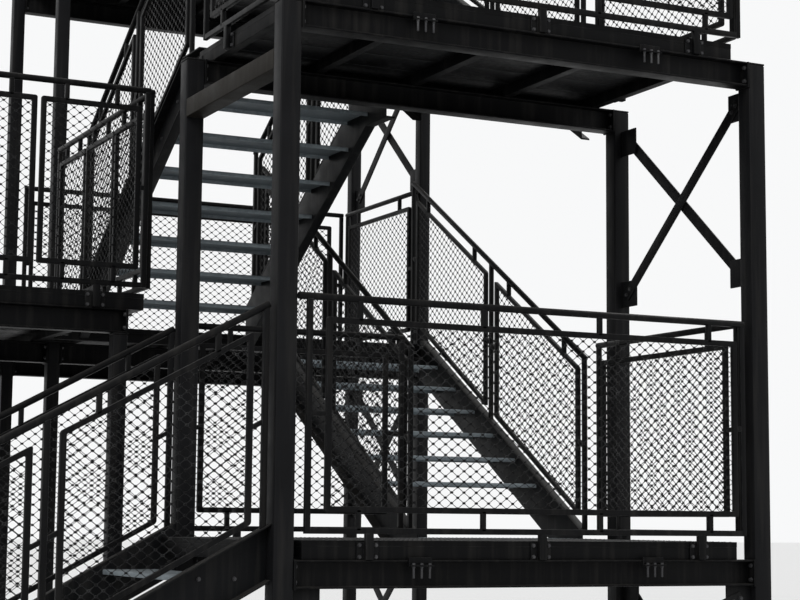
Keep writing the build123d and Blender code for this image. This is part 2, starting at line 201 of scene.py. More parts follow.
def sprayedCoatGroup():
    start = {
        "Paint": (0.02, 0.02, 0.02, 1), "Bare": (0.3, 0.3, 0.3, 1), "Dust": (0.2, 0.2, 0.2, 1),
        "Rub": 0.5, "Settled": 0.4, "Gloss": 0.45,
    }
    kinds = {"Color": "Color", "Roughness": "Float", "Metallic": "Float", "Height": "Float"}
    tree, given, out = newGroup("sprayedCoat", start, kinds)
    place = addNode(tree, "TexCoord").outputs["Object"]
    broad = noise(tree, place, *paintStyle["broad"])
    patch = noise(tree, place, *paintStyle["patches"])
    grain = noise(tree, place, *paintStyle["grain"])
    tall = stretch(tree, place, paintStyle["streakStretch"])
    streak = remap(tree, noise(tree, tall, *paintStyle["streaks"]), *paintStyle["streakSpan"])
    broadTone = remap(tree, broad, *noiseSpan, *paintStyle["broadTone"])
    patchTone = remap(tree, patch, *noiseSpan, *paintStyle["patchTone"])
    tone = calc(tree, "ADD", broadTone, patchTone)
    colour = mixColour(tree, 1.0, given["Paint"], tone, "MULTIPLY")
    streaked = calc(tree, "MULTIPLY", streak, paintStyle["streakShare"])
    weathered = mixColour(tree, streaked, colour, given["Dust"])
    rubbed = useGroup(tree, edgeRub, {"Amount": given["Rub"]})["Mask"]
    bare = mixColour(tree, rubbed, weathered, given["Bare"])
    dusty = useGroup(tree, settledDust, {"Amount": given["Settled"]})["Mask"]
    patchGloss = remap(tree, patch, *noiseSpan, *paintStyle["patchGloss"])
    raised = calc(tree, "MULTIPLY", patch, paintStyle["patchHeight"])
    tree.links.new(mixColour(tree, dusty, bare, given["Dust"]), out["Color"])
    tree.links.new(dustedRoughness(tree, given, patchGloss, dusty), out["Roughness"])
    tree.links.new(calc(tree, "MULTIPLY", rubbed, paintStyle["rubbedMetal"]), out["Metallic"])
    tree.links.new(calc(tree, "ADD", grain, raised), out["Height"])
    return tree


# Dipped zinc: crystal spangle, chalky runs, rubbed edges, dust, and painted shade darkening what
# faces down
zincStyle = {
    "spangleTone": (0.84, 1.12),
    "spangleGloss": (-0.08, 0.08),
    "broad": (2.1, 5.0),
    "broadTone": (-0.14, 0.14),
    "grain": (300.0, 2.0),
    "grainHeight": 0.5,
    "runStretch": (7.0, 7.0, 1.2),
    "runs": (2.6, 5.0),
    "runSpan": (0.5, 0.72),
    "runShare": 0.45,
    # faces that look down get painted shade, its strength uneven with the broad noise
    "belowSpan": (-0.9, -0.5),
    "shadeShares": (1.0, 0.88),
}


def dippedZincGroup():
    start = {
        "Zinc": (0.1, 0.1, 0.1, 1), "Chalk": (0.2, 0.2, 0.2, 1), "Dust": (0.2, 0.2, 0.2, 1),
        # the dark colour and the amount of painted shade for faces that look down
        "PaintedShadeColour": (0.0045, 0.0045, 0.0048, 1), "PaintedShade": 0.0,
        "Rub": 0.3, "Settled": 0.4, "Gloss": 0.5, "Spangle": 60.0,
    }
    kinds = {"Color": "Color", "Roughness": "Float", "Height": "Float"}
    tree, given, out = newGroup("dippedZinc", start, kinds)
    place = addNode(tree, "TexCoord").outputs["Object"]
    crystal = addNode(tree, "TexVoronoi", {"Vector": place, "Scale": given["Spangle"]})
    shade = addNode(tree, "SeparateColor", {0: crystal.outputs["Color"]}).outputs[0]
    broad = noise(tree, place, *zincStyle["broad"])
    grain = noise(tree, place, *zincStyle["grain"])
    tall = stretch(tree, place, zincStyle["runStretch"])
    runs = remap(tree, noise(tree, tall, *zincStyle["runs"]), *zincStyle["runSpan"])
    spangleTone = remap(tree, shade, 0.0, 1.0, *zincStyle["spangleTone"])
    broadTone = remap(tree, broad, *noiseSpan, *zincStyle["broadTone"])
    tone = calc(tree, "ADD", spangleTone, broadTone)
    colour = mixColour(tree, 1.0, given["Zinc"], tone, "MULTIPLY")
    run = calc(tree, "MULTIPLY", runs, zincStyle["runShare"])
    chalky = mixColour(tree, run, colour, given["Chalk"])
    rubbed = useGroup(tree, edgeRub, {"Amount": given["Rub"]})["Mask"]
    bright = mixColour(tree, rubbed, chalky, given["Chalk"])
    dusty = useGroup(tree, settledDust, {"Amount": given["Settled"]})["Mask"]
    dusted = mixColour(tree, dusty, bright, given["Dust"])
    # painted shade: darker where a face looks down, more or less with the broad noise
    below = remap(tree, facingUp(tree), *zincStyle["belowSpan"], 1.0, 0.0)
    shadeBelow = calc(tree, "MULTIPLY", below, given["PaintedShade"])
    uneven = remap(tree, broad, *noiseSpan, *zincStyle["shadeShares"])
    paintedShadeMask = calc(tree, "MULTIPLY", shadeBelow, uneven)
    spangleGloss = remap(tree, shade, 0.0, 1.0, *zincStyle["spangleGloss"])
    raised = calc(tree, "MULTIPLY", grain, zincStyle["grainHeight"])
    tree.links.new(mixColour(tree, paintedShadeMask, dusted, given["PaintedShadeColour"]), out["Color"])
    tree.links.new(dustedRoughness(tree, given, spangleGloss, dusty), out["Roughness"])
    tree.links.new(calc(tree, "ADD", raised, shade), out["Height"])
    return tree


coatGroup = sprayedCoatGroup()
zincGroup = dippedZincGroup()

# One finish for each slot of the record, and one for bolts; colours are linear
bareSteel = (0.24, 0.245, 0.25)
roadDust = (0.115, 0.108, 0.098)
finishStyle = {"specular": 0.07, "bumpStrength": 0.35, "bumpHeight": 0.0006}
coats = {
    "column_paint": {"paint": (0.0085, 0.0087, 0.0096), "gloss": 0.44, "rub": 0.3, "dust": 0.25},
    "plate_paint": {"paint": (0.0100, 0.0102, 0.0110), "gloss": 0.5, "rub": 0.4, "dust": 0.4},
    # partly dark paint, partly painted shade: darker than the columns' paint, as the beams sit in
    # shade under the decks
    "beam_paint": {"paint": (0.0036, 0.0037, 0.0041), "gloss": 0.48, "rub": 0.2, "dust": 0.25},
    # painted light: the tie beam is lighter and warmer than the other beams, as light falls on it
    # from the left
    "tie_paint": {"paint": (0.0200, 0.0180, 0.0152), "gloss": 0.55, "rub": 0.3, "dust": 0.3},
    "frame_paint": {"paint": (0.0038, 0.0039, 0.0043), "gloss": 0.5, "rub": 0.2, "dust": 0.25},
    "stringer_paint": {"paint": (0.0066, 0.0070, 0.0078), "gloss": 0.46, "rub": 0.3, "dust": 0.3},
    "guard_steel": {"paint": (0.0055, 0.0056, 0.0060), "gloss": 0.42, "rub": 0.35, "dust": 0.2},
    "brace_steel": {"paint": (0.0090, 0.0091, 0.0098), "gloss": 0.46, "rub": 0.35, "dust": 0.25},
}
# undersides are darkened by painted shade: strongly on the decks, a little on the treads, not on
# bolts
zincs = {
    "deck_steel": {
        "zinc": (0.048, 0.050, 0.053), "chalk": (0.10, 0.10, 0.10), "gloss": 0.52,
        "spangle": 45.0, "paintedShade": 0.92, "metal": 0.35,
    },
    "tread_steel": {
        "zinc": (0.260, 0.300, 0.325), "chalk": (0.34, 0.37, 0.39), "gloss": 0.5,
        "spangle": 60.0, "paintedShade": 0.2, "metal": 0.35,
    },
    "bolt_zinc": {
        "zinc": (0.055, 0.055, 0.058), "chalk": (0.13, 0.13, 0.13), "gloss": 0.46,
        "spangle": 160.0, "paintedShade": 0.0, "metal": 0.5,
    },
}


def solid(colour):
    return (*colour, 1.0)


def finishMaterial(name, group, inputs, metal=None):
    material = bpy.data.materials.new(name)
    material.use_nodes = True
    tree = material.node_tree
    shader = tree.nodes["Principled BSDF"]
    made = useGroup(tree, group, inputs)
    tree.links.new(made["Color"], shader.inputs["Base Color"])
    tree.links.new(made["Roughness"], shader.inputs["Roughness"])
    if metal is None:
        tree.links.new(made["Metallic"], shader.inputs["Metallic"])
    else:
        shader.inputs["Metallic"].default_value = metal
    shader.inputs["Specular IOR Level"].default_value = finishStyle["specular"]
    grain = {"Strength": finishStyle["bumpStrength"], "Distance": finishStyle["bumpHeight"]}
    bump = addNode(tree, "Bump", {**grain, "Height": made["Height"]})
    tree.links.new(bump.outputs[0], shader.inputs["Normal"])
    return material


finishes = {}
for slot, look in coats.items():
    finishes[slot] = finishMaterial(slot, coatGroup, {
        "Paint": solid(look["paint"]), "Bare": solid(bareSteel), "Dust": solid(roadDust),
        "Rub": look["rub"], "Settled": look["dust"], "Gloss": look["gloss"],
    })
for slot, look in zincs.items():
    finishes[slot] = finishMaterial(slot, zincGroup, {
        "Zinc": solid(look["zinc"]), "Chalk": solid(look["chalk"]), "Dust": solid(roadDust),
        "Gloss": look["gloss"], "Spangle": look["spangle"], "PaintedShade": look["paintedShade"],
    }, look["metal"])
print("finishes made:", len(finishes))

slotOf = {part["node"]: part["material_slot"] for part in frame["record"]["subparts"]}
for name, slot in slotOf.items():
    mesh = nodes[name].data
    mesh.materials.clear()
    mesh.materials.append(finishes[slot])


# Drawing tools: s runs along a piece, n out of its plane and z up; a slope shears it
east, north, west, south = (1, 0), (0, 1), (-1, 0), (0, -1)
drawStyle = {
    "sharp": 25,             # degrees between faces, from which an edge is eased
    "smooth": 35,            # degrees up to which shading runs on
    "flat": 1,               # degrees between faces that are made one
    "merge": 1e-5,
    "tubeSides": 20,
    "studSides": 12,
    "tubeRim": 0.18,         # share of the radius that the rims lose
    "cornerSegments": 4,
    "easedSegments": 3,
}


def localPlace(start, direction, slope=0.0):
    dx, dy = direction
    return Matrix((
        (dx, dy, 0, start[0]),
        (dy, -dx, 0, start[1]),
        (slope, 0, 1, start[2]),
        (0, 0, 0, 1),
    ))


# for pieces drawn along the world's axes; its n runs towards the front, so against +Y
level = localPlace((0, 0, 0), east)


def slab(bm, place, along, out, up):
    pairs = (along, out, up)
    centre = Vector([(a + b) / 2 for a, b in pairs])
    size = [abs(b - a) for a, b in pairs]
    matrix = place @ Matrix.Translation(centre) @ Matrix.Diagonal((*size, 1))
    bmesh.ops.create_cube(bm, size=1, matrix=matrix)


def roundEdges(bm, edges, width, segments, clamp=True):
    bmesh.ops.bevel(
        bm, geom=edges, offset=width, offset_type="OFFSET", affect="EDGES",
        segments=segments, profile=0.5, material=-1, clamp_overlap=clamp,
    )


def softenEdges(bm, width, segments=2):
    least = radians(drawStyle["sharp"])
    roundEdges(bm, [edge for edge in bm.edges if edge.calc_face_angle(0) > least], width, segments)


def shiftCopy(bm, made, step):
    # moves what an operator has just made
    moved = [item for item in made["geom"] if isinstance(item, bmesh.types.BMVert)]
    bmesh.ops.translate(bm, vec=step, verts=moved)


def addFrom(bm, piece):
    # joins one finished bmesh into another
    mesh = bpy.data.meshes.new("scratch")
    piece.to_mesh(mesh)
    piece.free()
    bm.from_mesh(mesh)
    bpy.data.meshes.remove(mesh)


def ring(bm, place, along, up, bar, depth, corner, edge):
    # a closed frame of bar with rounded corners
    piece = bmesh.new()
    grid = bmesh.ops.create_grid(piece, x_segments=1, y_segments=1, size=0.5)
    width, height = along[1] - along[0], up[1] - up[0]
    centre = ((along[0] + along[1]) / 2, -depth / 2, (up[0] + up[1]) / 2)
    turn = Matrix(((width, 0, 0, 0), (0, 0, 1, 0), (0, height, 0, 0), (0, 0, 0, 1)))
    bmesh.ops.transform(piece, matrix=Matrix.Translation(centre) @ turn, verts=grid["verts"])
    inner = piece.faces[:]
    piece.normal_update()
    bmesh.ops.inset_individual(piece, faces=inner, thickness=bar, use_even_offset=True)
    bmesh.ops.delete(piece, geom=inner, context="FACES_ONLY")
    shiftCopy(piece, bmesh.ops.extrude_face_region(piece, geom=piece.faces[:]), (0, depth, 0))
    outer = []
    for line in piece.edges:
        first, last = [vert.co for vert in line.verts]
        if abs(first.y - last.y) > depth / 2 and min(abs(first.x - s) for s in along) < bar / 2:
            outer.append(line)
    roundEdges(piece, outer, corner, drawStyle["cornerSegments"], clamp=False)
    softenEdges(piece, edge)
    bmesh.ops.transform(piece, matrix=place, verts=piece.verts[:])
    addFrom(bm, piece)


def rod(bm, sides, radius, tip, depth, matrix):
    bmesh.ops.create_cone(
        bm, cap_ends=True, segments=sides, radius1=radius, radius2=tip, depth=depth, matrix=matrix,
    )


def strand(bm, first, last, normal, width, depth):
    # a flat bar from one point to another
    along = last - first
    x = along.normalized()
    turn = Matrix((x, normal, x.cross(normal))).transposed().to_4x4()
    size = Matrix.Diagonal((along.length, depth, width, 1))
    bmesh.ops.create_cube(bm, size=1, matrix=Matrix.Translation((first + last) / 2) @ turn @ size)


def softTube(bm, first, last, radius, sides):
    # a round bar whose ends have eased rims
    piece = bmesh.new()
    along = last - first
    turn = along.to_track_quat("Z", "X").to_matrix().to_4x4()
    rod(piece, sides, radius, radius, along.length, Matrix.Translation((first + last) / 2) @ turn)
    softenEdges(piece, radius * drawStyle["tubeRim"])
    addFrom(bm, piece)


boltStyle = {
    "washer": 0.0125,
    "washerThickness": 0.003,
    "washerSides": 12,
    "head": 0.0105,
    "headHeight": 0.008,
    "headSides": 6,
    "taper": 0.97,
}


def hexBolt(bm, place, axis, size):
    turn = Matrix.Translation(place) @ axis.to_track_quat("Z", "X").to_matrix().to_4x4()
    washer = boltStyle["washerThickness"] * size
    head = boltStyle["headHeight"] * size
    for kind, low, high in (("washer", 0, washer), ("head", washer, washer + head)):
        radius = boltStyle[kind] * size
        middle = turn @ Matrix.Translation((0, 0, (low + high) / 2))
        rod(bm, boltStyle[kind + "Sides"], radius, radius * boltStyle["taper"], high - low, middle)


def solidCopy(name):
    # the solid's own mesh with its flat faces made whole
    bm = bmesh.new()
    bm.from_mesh(nodes[name].data)
    bmesh.ops.remove_doubles(bm, verts=bm.verts[:], dist=drawStyle["merge"])
    flat = radians(drawStyle["flat"])
    bmesh.ops.dissolve_limit(bm, angle_limit=flat, verts=bm.verts[:], edges=bm.edges[:])
    return bm


def islands(name):
    # corner points of each separate solid of a node, in the same order each time
    bm = solidCopy(name)
    seen = set()
    groups = []
    for start in bm.verts:
        if start in seen:
            continue
        seen.add(start)
        front = [start]
        group = []
        while front:
            vert = front.pop()
            group.append(vert.co.copy())
            for edge in vert.link_edges:
                other = edge.other_vert(vert)
                if other not in seen:
                    seen.add(other)
                    front.append(other)
        groups.append(group)
    bm.free()
    return groups


def extent(points):
    low = Vector([min(point[i] for point in points) for i in range(3)])
    high = Vector([max(point[i] for point in points) for i in range(3)])
    return low, high


def finishPiece(bm, name, slot, material=None, replaced=(), angle=drawStyle["smooth"]):
    bmesh.ops.recalc_face_normals(bm, faces=bm.faces[:])
    mesh = bpy.data.meshes.new(name)
    bm.to_mesh(mesh)
    bm.free()
    mesh.polygons.foreach_set("use_smooth", [True] * len(mesh.polygons))
    mesh.set_sharp_from_angle(angle=radians(angle))
    mesh.materials.append(finishes[material or slot])
    piece = bpy.data.objects.new(name, mesh)
    scene.collection.objects.link(piece)
    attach(piece, "root")
    if replaced:
        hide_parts(*replaced)


# Structure: solids whose shapes are kept, with edges eased by the width given here
easedEdges = {
    "front_columns": 0.007,
    "middle_columns": 0.007,
    "landing_columns": 0.006,
    "rear_columns": 0.006,
    "walkway_columns": 0.006,
    "cap_plates": 0.003,
    "base_plates": 0.002,
    "lower_beams": 0.004,
    "upper_beams": 0.004,
    "half_landing_beams": 0.004,
    "top_landing_beams": 0.004,
    "walkway_beams": 0.004,
    "left_tie_beam": 0.005,
    "lower_deck_frame": 0.004,
    "upper_deck_frame": 0.004,
    "half_landing_frame": 0.004,
    "top_landing_frame": 0.004,
    "walkway_frame": 0.004,
    "entry_flight_stringers": 0.003,
    "lower_flight_stringers": 0.003,
    "middle_flight_stringers": 0.003,
    "upper_flight_stringers": 0.003,
    "brace_gussets": 0.0025,
}
for name, width in easedEdges.items():
    bm = solidCopy(name)
    softenEdges(bm, width, drawStyle["easedSegments"])
    bmesh.ops.dissolve_degenerate(bm, dist=drawStyle["merge"], edges=bm.edges[:])
    finishPiece(bm, name + "_eased", slotOf[name], replaced=(name,))
print("structure eased:", len(easedEdges))


# Guards: a round rail over framed mesh panels, a toe rail and bolted posts
guardStyle = {
    "railRadius": 0.017,
    "railReach": 0.044,
    "bar": 0.028,
    "depth": 0.024,
    "height": 1.110,
    "stairHeight": 1.035,
    "panelDrop": 0.090,
    "panelBottom": 0.125,
    "stairPanelBottom": 0.075,
    "toe": 0.028,
    "panelGap": 0.022,
    "postGap": 0.045,
    "panelPitch": 0.62,
    "stub": 0.024,
    "stubInset": 0.170,
    "stubPitch": 0.66,
    "shift": 0.026,
    "plateWidth": 0.112,
    "plateHeight": 0.082,
    "plateThickness": 0.008,
    "plateFace": 0.015,
    "boltInset": 0.014,
    "boltSize": 0.8,
    "plateInset": 0.300,
    "platePitch": 0.915,
    "post": 0.040,
    "stringerRise": 0.030,
    "corner": 0.012,
    "edge": 0.003,
}
meshStyle = {
    "diamondWidth": 0.066,
    "diamondHeight": 0.050,
    "strand": 0.0028,
    "flatness": 0.7,
    "smooth": 60,
    "knotWidth": 0.019,
    "knotHeight": 0.013,
    "knotThickness": 0.005,
}
levelGuards = {
    "lower_front_guard": east,
    "lower_right_guard": north,
    "lower_rear_guard": west,
    "upper_front_guard": east,
    "upper_right_guard": north,
    "upper_left_guard": south,
    "half_landing_right_guard": north,
    "half_landing_rear_guard": west,
    "top_landing_front_guard": east,
    "top_landing_right_guard": north,
    "top_landing_rear_guard": west,
    "top_landing_left_guard": south,
    "walkway_front_guard": east,
    "walkway_right_guard": north,
    "walkway_rear_guard": west,
    "walkway_left_guard": south,
}
# their handrails run on to the column at the left
reachingGuards = ("lower_front_guard", "upper_front_guard")


def evenly(length, inset, pitch):
    spaces = max(1, round((length - 2 * inset) / pitch))
    step = (length - 2 * inset) / spaces
    return [inset + i * step for i in range(spaces + 1)]


def splitPanels(left, right, count, gap):
    width = (right - left - (count - 1) * gap) / count
    return [(left + i * (width + gap), left + i * (width + gap) + width) for i in range(count)]


def outOf(place):
    # the direction in which a place's own n runs
    return (place.to_3x3() @ Vector((0, 1, 0))).normalized()


def weaveStrands(bm, place, along, up, slope, lean):
    # slanting strands that start and stop at the four sides
    high, thick = meshStyle["diamondHeight"], meshStyle["strand"]
    bottom, top = up
    middle = sum(along) / 2
    strands = bmesh.new()
    rise = lean * high / meshStyle["diamondWidth"] - slope
    heights = [rise * (s - middle) for s in along]
    first = ceil((bottom - max(heights)) / high)
    last = floor((top - min(heights)) / high)
    for k in range(first, last + 1):
        ends = []
        for s in along:
            z = k * high + rise * (s - middle)
            capped = min(max(z, bottom), top)
            ends.append((s + (capped - z) / rise, capped) if rise else (s, z))
        a, b = [place @ Vector((s, lean * thick / 4, z)) for s, z in ends]
        if (b - a).length > thick:
            strand(strands, a, b, outOf(place), thick, thick * meshStyle["flatness"])
    addFrom(bm, strands)


def weaveKnots(bm, place, along, up, slope):
    # a flat diamond wherever two strands cross
    wide, high = meshStyle["diamondWidth"], meshStyle["diamondHeight"]
    left, right = along
    bottom, top = up
    middle = sum(along) / 2
    turn = outOf(place).to_track_quat("Z", "Y").to_matrix().to_4x4()
    flat = Matrix.Diagonal((meshStyle["knotWidth"] / 2, meshStyle["knotHeight"] / 2, 1, 1))
    columns = floor((right - left) / wide) + 1
    for i in range(-columns, columns + 1):
        s = middle + i * wide / 2
        if not left < s < right:
            continue
        column = bmesh.new()
        sheared = slope * (s - middle)
        first = ceil((bottom + sheared) / (high / 2))
        last = floor((top + sheared) / (high / 2))
        for j in range(first, last + 1):
            if (i + j) % 2:
                continue
            centre = Matrix.Translation(place @ Vector((s, 0, j * high / 2 - sheared)))
            rod(column, 4, 1, 1, meshStyle["knotThickness"], centre @ turn @ flat)
        addFrom(bm, column)


def weaveMesh(bm, place, along, up, slope):
    for lean in (1, -1):
        weaveStrands(bm, place, along, up, slope, lean)
    weaveKnots(bm, place, along, up, slope)


def stub(bm, place, s, up):
    half = guardStyle["stub"] / 2
    slab(bm, place, (s - half, s + half), (-half, half), up)


def sideTabs(bm, place, posts, panel, z):
    # short bars from a panel's sides to the posts beside it
    half = guardStyle["stub"] / 2
    slab(bm, place, (posts[0], panel[0]), (-half, half), (z - half, z + half))
    slab(bm, place, (panel[1], posts[1]), (-half, half), (z - half, z + half))


def panelFrames(bars, place, panels, levels):
    style = [guardStyle[key] for key in ("bar", "depth", "corner", "edge")]
    for panel in panels:
        ring(bars, place, panel, levels, *style)


def handrail(bars, place, begin, end, height):
    ends = [place @ Vector((s, 0, height)) for s in (begin, end)]
    softTube(bars, *ends, guardStyle["railRadius"], drawStyle["tubeSides"])


def panelPlates(bars, bolts, place, length, foot):
    # bracket plates behind short posts, with a bolt near each corner
    half, top = guardStyle["plateWidth"] / 2, foot + guardStyle["plateHeight"]
    face = -guardStyle["plateFace"]
    back = face - guardStyle["plateThickness"]
    reach, inset = guardStyle["post"] / 2, guardStyle["boltInset"]
    postTop = guardStyle["toe"] + guardStyle["edge"]
    for spot in evenly(length, guardStyle["plateInset"], guardStyle["platePitch"]):
        s = spot + guardStyle["shift"]
        slab(bars, place, (s - reach, s + reach), (face, guardStyle["depth"] / 2), (foot, postTop))
        slab(bars, place, (s - half, s + half), (back, face), (foot, top))
        for across in (s - half + inset, s + half - inset):
            for z in (foot + inset, top - inset):
                head = place @ Vector((across, face, z))
                hexBolt(bolts, head, outOf(place), guardStyle["boltSize"])


def levelGuard(name, direction):
    low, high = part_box(name)
    dx, dy = direction
    radius, bar, toe = guardStyle["railRadius"], guardStyle["bar"], guardStyle["toe"]
    # the rail's axis lies one radius inside the outer face of the solid
    x = {1: low.x, -1: high.x, 0: high.x - radius if dy > 0 else low.x + radius}[dx]
    y = {1: low.y, -1: high.y, 0: low.y + radius if dx > 0 else high.y - radius}[dy]
    length = (high.x - low.x) if dx else (high.y - low.y)
    height = guardStyle["height"]
    place = localPlace((x, y, high.z - height - radius), direction)
    count = round(length / guardStyle["panelPitch"]) if "walkway" in name else 1
    bottom, top = guardStyle["panelBottom"], height - guardStyle["panelDrop"]
    half, deep = bar / 2, guardStyle["depth"] / 2
    side, shift = bar + guardStyle["postGap"], guardStyle["shift"]
    panels = splitPanels(side + shift, length - side + shift, count, guardStyle["panelGap"])
    between = bar - guardStyle["edge"], length - bar + guardStyle["edge"]
    bars, woven, bolts = bmesh.new(), bmesh.new(), bmesh.new()
    slab(bars, place, between, (-deep, deep), (toe, toe + bar))
    for left in (0, length - bar):
        slab(bars, place, (left, left + bar), (-deep, deep), (toe, height))
    sideTabs(bars, place, between, (panels[0][0], panels[-1][1]), (bottom + top) / 2)
    for left, right in panels:
        inset = min(guardStyle["stubInset"], (right - left) / 4)
        for s in evenly(right - left, inset, guardStyle["stubPitch"]):
            stub(bars, place, left + s, (top - half, height - radius / 2))
            stub(bars, place, left + s, (toe + half, bottom + half))
        weaveMesh(woven, place, (left + half, right - half), (bottom + half, top - half), 0.0)
    panelPlates(bars, bolts, place, length, low.z - place.translation.z)
    softenEdges(bars, guardStyle["edge"])
    panelFrames(bars, place, panels, (bottom, top))
    handrail(bars, place, -guardStyle["railReach"] if name in reachingGuards else 0, length, height)
    finishPiece(bars, name + "_bars", "guard_steel", replaced=(name,))
    finishPiece(woven, name + "_mesh", "guard_steel", angle=meshStyle["smooth"])
    finishPiece(bolts, name + "_bolts", "guard_steel", "bolt_zinc")


for name, direction in levelGuards.items():
    levelGuard(name, direction)
print("level guards made:", len(levelGuards))

# Guards on the flights: direction, slope, panels, and the level under the last post
stairStyle = {"rise": 0.162, "going": 0.262, "entryGoing": 0.300}
stairSlope = stairStyle["rise"] / stairStyle["going"]
entrySlope = stairStyle["rise"] / stairStyle["entryGoing"]


def surface(node):
    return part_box(node)[1].z


middleEnd = surface("upper_deck_plate") + guardStyle["stringerRise"]
flightGuards = {
    "entry_flight_guards": (east, entrySlope, 3, None),
    "lower_flight_guards": (north, stairSlope, 2, surface("half_landing_plate")),
    "middle_flight_guards": (south, stairSlope, 2, middleEnd),
    "upper_flight_guards": (north, stairSlope, 2, surface("top_landing_plate")),
}


def stairPanels(length, count):
    side = guardStyle["bar"] + guardStyle["postGap"]
    return splitPanels(side, length - side, count, side + guardStyle["postGap"])


def stairGuard(bars, woven, place, slope, length, panels, levels, endLevel):
    bar, gap, rise = guardStyle["bar"], guardStyle["postGap"], guardStyle["stringerRise"]
    height, railInside = guardStyle["stairHeight"], guardStyle["railRadius"] / 2
    bottom, top = levels
    half, deep = bar / 2, guardStyle["depth"] / 2
    for left, right in panels:
        post = left - gap
        slab(bars, place, (post - bar, post), (-deep, deep), (rise, height))
        sideTabs(bars, place, (post, right + gap), (left, right), (bottom + top) / 2)
        for s in evenly(right - left, guardStyle["stubInset"], guardStyle["stubPitch"]):
            stub(bars, place, left + s, (top - half, height - railInside))
        weaveMesh(woven, place, (left + half, right - half), (bottom + half, top - half), slope)
    foot = rise if endLevel is None else endLevel - place.translation.z - slope * (length - half)
    slab(bars, place, (length - bar, length), (-deep, deep), (foot, height))


def flightGuard(name, direction, slope, count, endLevel):
    low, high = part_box(name)
    dx, dy = direction
    radius, height = guardStyle["railRadius"], guardStyle["stairHeight"]
    overhang = radius * sin(atan(slope))
    span = (high.x - low.x) if dx else (high.y - low.y)
    length = span - 2 * overhang
    panels = stairPanels(length, count)
    levels = guardStyle["stairPanelBottom"], height - guardStyle["panelDrop"]
    bars, woven = bmesh.new(), bmesh.new()
    if dx:
        starts = [(low.x + overhang, y) for y in (low.y + radius, high.y - radius)]
    else:
        y = low.y + overhang if dy > 0 else high.y - overhang
        starts = [(x, y) for x in (low.x + radius, high.x - radius)]
    bottom = low.z - guardStyle["stringerRise"]
    places = [localPlace((*start, bottom), direction, slope) for start in starts]
    for place in places:
        stairGuard(bars, woven, place, slope, length, panels, levels, endLevel)
    softenEdges(bars, guardStyle["edge"])
    for place in places:
        panelFrames(bars, place, panels, levels)
        handrail(bars, place, 0, length, height)
    finishPiece(bars, name + "_bars", "guard_steel", replaced=(name,))
    finishPiece(woven, name + "_mesh", "guard_steel", angle=meshStyle["smooth"])


for name, (direction, slope, count, endLevel) in flightGuards.items():
    flightGuard(name, direction, slope, count, endLevel)
print("flight guards made:", len(flightGuards))

# Raised buttons that keep boots from slipping, in even rows
buttonStyle = {
    "radius": 0.0065,
    "tip": 0.004,
    "sides": 6,
    "height": 0.0014,
    "pitch": 0.05,
    "rim": 0.022,
}


def copiesAlong(bm, count, step):
    first = bm.verts[:] + bm.edges[:] + bm.faces[:]
    for i in range(1, count):
        shiftCopy(bm, bmesh.ops.duplicate(bm, geom=first), step * i)


def buttonRows(bm, low, high, top):
    # rows over a rectangle in plan, their tips level with the top
    rim, height = buttonStyle["rim"], buttonStyle["height"]
    counts = [max(1, round((high[i] - low[i] - 2 * rim) / buttonStyle["pitch"])) for i in (0, 1)]
    steps = [(high[i] - low[i] - 2 * rim) / counts[i] for i in (0, 1)]
    piece = bmesh.new()
    start = Matrix.Translation((low[0] + rim, low[1] + rim, top - height / 2))
    rod(piece, buttonStyle["sides"], buttonStyle["radius"], buttonStyle["tip"], height, start)
    copiesAlong(piece, counts[0] + 1, Vector((steps[0], 0, 0)))
    copiesAlong(piece, counts[1] + 1, Vector((0, steps[1], 0)))
    addFrom(bm, piece)


# Decks: boards across the joists, with narrow joints
boardStyle = {"pitch": 0.25, "joint": 0.004, "edge": 0.0025, "clearance": 0.005, "trim": 0.004}


def plan(node):
    low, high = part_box(node)
    return (low.x, low.y), (high.x, high.y)


def deckAreas():
    # where the solids' plates lie: one rectangle each, and on two of them parts between columns
    clear = boardStyle["clearance"]
    deckLow, deckHigh = plan("upper_deck_plate")
    landingLow, landingHigh = plan("top_landing_plate")
    frontColumns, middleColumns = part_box("front_columns"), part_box("middle_columns")
    landingColumns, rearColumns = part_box("landing_columns"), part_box("rear_columns")
    entryX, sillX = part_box("lower_deck_plate")[0].x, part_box("half_landing_plate")[0].x
    entry = (entryX, frontColumns[1].y + clear), (deckLow[0], middleColumns[0].y - clear)
    frontSill = (sillX, landingLow[1]), (landingLow[0], landingColumns[0].y - clear)
    rearSill = (sillX, landingColumns[1].y + clear), (landingLow[0], rearColumns[0].y - clear)
    return {
        "lower_deck_plate": [(deckLow, deckHigh), entry],
        "upper_deck_plate": [(deckLow, deckHigh)],
        "half_landing_plate": [(landingLow, landingHigh), frontSill, rearSill],
        "top_landing_plate": [(landingLow, landingHigh)],
        "walkway_plate": [plan("walkway_plate")],
    }


def makeDeck(name, areas):
    low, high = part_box(name)
    top = high.z - buttonStyle["height"]
    joint, trim = boardStyle["joint"] / 2, boardStyle["trim"]
    boards, buttons, edges = bmesh.new(), bmesh.new(), bmesh.new()
    for (left, front), (right, rear) in areas:
        inside = left + trim, right - trim
        count = max(1, round((rear - front) / boardStyle["pitch"]))
        step = (rear - front - 2 * trim) / count
        for i in range(count):
            near = front + trim + i * step + (joint if i else 0)
            far = front + trim + (i + 1) * step - (joint if i < count - 1 else 0)
            slab(boards, level, inside, (-far, -near), (low.z, top))
            buttonRows(buttons, (left, near), (right, far), high.z)
        for y in (front, rear - trim):
            slab(edges, level, (left, right), (-y - trim, -y), (low.z, top))
        for x in (left, right - trim):
            slab(edges, level, (x, x + trim), (-rear + trim, -front - trim), (low.z, top))
    softenEdges(boards, boardStyle["edge"])
    addFrom(boards, buttons)
    finishPiece(boards, name + "_boards", slotOf[name], replaced=(name,))
    finishPiece(edges, name + "_edge_trim", slotOf["upper_deck_frame"])


